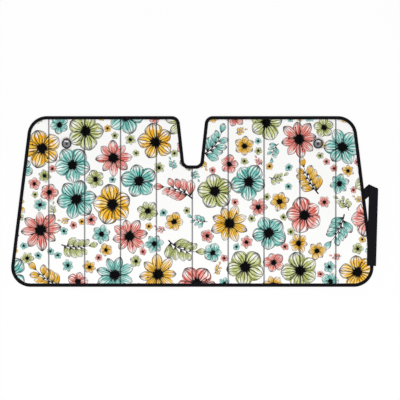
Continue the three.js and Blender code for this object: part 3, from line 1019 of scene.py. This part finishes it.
class Strap:
    def __init__(self):
        top = SHADE_HEIGHT / 2
        self.edge_foot = Vector((BOTTOM_WIDTH / 2, -top))
        run = (Vector((TOP_WIDTH / 2, top)) - self.edge_foot).normalized()
        self.edge_normal = Vector((run.y, -run.x))
        fold = (STRAP_RISE_ANGLE - math.pi / 2 - STRAP_LEAN) / 2
        self.skew = STRAP_RISE_ANGLE - fold
        self.along = heading(fold)
        self.across = self.along.orthogonal()
        self.rise = heading(STRAP_RISE_ANGLE)
        self.bend = math.pi / 2 * STRAP_FOLD_RADIUS
        root = self.edge_foot + run * (STRAP_ROOT_HEIGHT + top) / run.y
        self.fold_point = root + self.rise * STRAP_FOLD_REACH
        self.lower = 2 * SEAT + PATCH_THICKNESS + STRAP_THICKNESS / 2

    def point(self, s, t):
        d = s * math.sin(self.skew) + t * math.cos(self.skew)
        along = s * math.cos(self.skew) - t * math.sin(self.skew)
        straight = max(abs(d) - self.bend, 0)
        bend = min(max(d, -self.bend), self.bend) / STRAP_FOLD_RADIUS
        across = STRAP_FOLD_RADIUS * (math.cos(bend) - 1) - straight
        plan = self.fold_point + self.along * along + self.across * across
        ground = float(fold_height(plan.x))
        z = self.lower + STRAP_FOLD_RADIUS * (1 + math.sin(bend))
        if d < -self.bend:
            outside = max((plan - self.edge_foot).dot(self.edge_normal), 0)
            near = (straight / (straight + outside)) ** 2
            z += near * (ground + BINDING_LOW - SEAT - STRAP_THICKNESS / 2 - z)
        elif d > self.bend:
            over = ground + SHEET_THICKNESS + 2 * SEAT + PATCH_THICKNESS + STRAP_THICKNESS / 2
            z += float(smooth(straight, 0, STRAP_CLIMB)) * (over - z)
        return Vector((plan.x, plan.y, z))

    def normal(self, s, t):
        """Square to the strap, up on its first stretch and down on the hanging one."""
        step = 0.01 * MM
        along = self.point(s + step, t) - self.point(s - step, t)
        return along.cross(self.point(s, t + step) - self.point(s, t - step)).normalized()

    def edge_line(self, outside):
        """The line across the strap beside the shade's edge, as its s at t = 0 and its slope."""
        facing = self.rise.dot(self.edge_normal)
        lost = (self.bend - STRAP_FOLD_RADIUS) / math.sin(self.skew)
        slope = -self.rise.orthogonal().dot(self.edge_normal) / facing
        return outside / facing - STRAP_FOLD_REACH - lost, slope

    def bend_line(self, d):
        return d / math.sin(self.skew), -1 / math.tan(self.skew)

    def ribbon(self, name, lines, counts, half, low, high, slot, finish):
        """A piece of cloth along the strap, between lines across it, with rounded selvedges."""
        thick, middle = (high - low) / 2, (high + low) / 2
        turns = [math.pi * i / 4 for i in range(5)]
        right = [(-half + thick * (1 - math.sin(a)), thick * math.cos(a)) for a in turns]
        inner = np.linspace(-half, half, 13)[1:-1]
        section = right + [(t, -thick) for t in inner]
        section += [(-t, -n) for t, n in section]
        section.append(section[0])
        stops = [lines[0]]
        for before, after, count in zip(lines, lines[1:], counts):
            run = np.subtract(after, before)
            stops += [np.add(before, run * i / count) for i in range(1, count + 1)]
        rows, weave = [], []
        for start, slope in stops:
            places = [(start + slope * t, t, n + middle) for t, n in section]
            rows.append([self.point(s, t) + self.normal(s, t) * n for s, t, n in places[:-1]])
            weave.append([(s, t) for s, t, _ in places])
        return place(name, tube_mesh(name, rows, weave, sharp=60), slot, [finish])

    def sewn(self, line, side, pitch=3.2 * MM, length=2.4 * MM, radius=0.26 * MM):
        """Stitches along a line of (s, t) places, on the side that the sign of the normal gives."""
        stitches = []
        for start, end in zip(line, line[1:]):
            start, end = np.array(start), np.array(end)
            reach = np.linalg.norm(end - start)
            count = max(int(reach / pitch), 1)
            for i in range(count):
                points = []
                for share, sink in zip(np.linspace(0, 1, 4), (0.7, 0, 0, 0.7)):
                    s, t = start + (end - start) * (i * reach / count + share * length) / reach
                    height = side * (STRAP_THICKNESS / 2 - sink * radius)
                    points.append(self.point(s, t) + self.normal(s, t) * height)
                normal = self.normal(*start) * side
                stitches.append(stitch(points, normal, radius))
        return stitches


def strap():
    surface = Strap()
    half, thick = STRAP_WIDTH / 2, STRAP_THICKNESS / 2
    flat_from = STRAP_WIDTH + 2 * surface.bend
    lines = [
        surface.edge_line(-STRAP_ROOT_TUCK), surface.edge_line(0),
        surface.bend_line(-surface.bend), surface.bend_line(surface.bend),
        (flat_from, 0), (STRAP_CLIMB, 0), (STRAP_TAIL, 0),
    ]
    counts = (4, 14, 16, 10, 30, 24)
    webbing = surface.ribbon(
        "strap_webbing", lines, counts, half, -thick, thick, "webbing", "webbing")
    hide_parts("strap")

    near, patch_half = thick + SEAT, half - PATCH_MARGIN
    far = near + PATCH_THICKNESS
    skew = surface.skew
    loop_end = -(surface.bend / math.sin(skew) + patch_half / math.tan(skew) + PATCH_MARGIN)
    patches = (
        ("hook_tape", "hook_patch", STRAP_TAIL - PATCH_MARGIN, HOOK_PATCH_LENGTH, near, far, -1),
        ("loop_tape", "loop_patch", loop_end, LOOP_PATCH_LENGTH, -far, -near, 1),
    )
    inset = patch_half - PATCH_SEAM_INSET
    stitches = []
    for name, node, end, length, low, high, side in patches:
        ends = [(end - length, 0), (end, 0)]
        tape = surface.ribbon(
            name, ends, (12,), patch_half, low, high, "touch_fastener", "fastener")
        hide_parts(node)
        first, last = end - length + PATCH_SEAM_INSET, end - PATCH_SEAM_INSET
        box = [(first, -inset), (last, -inset), (last, inset), (first, inset), (first, -inset)]
        stitches += surface.sewn(box, side)
    for depth in ROOT_SEAMS:
        start, slope = surface.edge_line(-depth)
        stitches += surface.sewn([(start + slope * t, t) for t in (-inset, inset)], -1)
    seam("strap_seam", "webbing", stitches)


# Stage, light and camera

def floor_material():
    """A pale floor that the camera sees nearly white, with the object's shadow."""
    graph = Graph("floor", Roughness=0.9)
    tone = graph.noise(graph.place(), 3)
    graph.finish(graph.mix(tone, linear(246, 246, 246), linear(250, 250, 250)))
    share = graph.times(graph.seen(), FLOOR_GLOW)
    glow = graph.node("ShaderNodeEmission", {"Color": (1, 1, 1, 1), "Strength": 1.0}).outputs[0]
    mixed = graph.node("ShaderNodeMixShader", {0: share, 1: graph.shader.outputs[0], 2: glow})
    graph.put(graph.tree.nodes["Material Output"].inputs[0], mixed.outputs[0])
    return graph.owner


def studio_world():
    """An even pale surround: white where it is seen or mirrored, softer as a light."""
    graph = Graph("studio", world=True, Color=(1, 1, 1, 1))
    bpy.context.scene.world = graph.owner
    level = graph.node("ShaderNodeMapRange", {0: graph.seen(), 3: WORLD_LEVEL, 4: 1.0})
    graph.put(graph.shader.inputs["Strength"], level.outputs[0])


def stage():
    bpy.ops.mesh.primitive_plane_add(size=FLOOR_SIZE, location=(0, 0, -FLOOR_GAP))
    floor = bpy.context.object
    floor.name = "floor"
    floor.data.materials.append(floor_material())
    studio_world()
    lamp = bpy.data.lights.new("key", "AREA")
    lamp.shape = "RECTANGLE"
    lamp.size, lamp.size_y = KEY_SIZE
    lamp.energy = KEY_POWER
    holder = linked("key", lamp)
    holder.location = KEY_PLACE
    holder.rotation_euler = (-holder.location).to_track_quat("-Z", "Y").to_euler()


def camera():
    data = bpy.data.cameras.new("camera")
    data.type = "ORTHO"
    data.ortho_scale = PICTURE_WIDTH
    holder = linked("camera", data)
    holder.location = (*PICTURE_CENTRE, CAMERA_HEIGHT)
    bpy.context.scene.camera = holder


camera()
stage()
sheet = laminate()
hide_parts("shade_sheet")
cut = outline(HEM_INSET, 16)
binding()
binding_seam()
cup(-1, "vinyl_cup_left", "suction_cup_left")
cup(1, "vinyl_cup_right", "suction_cup_right")
strap()

bpy.context.scene.view_settings.view_transform = "Standard"
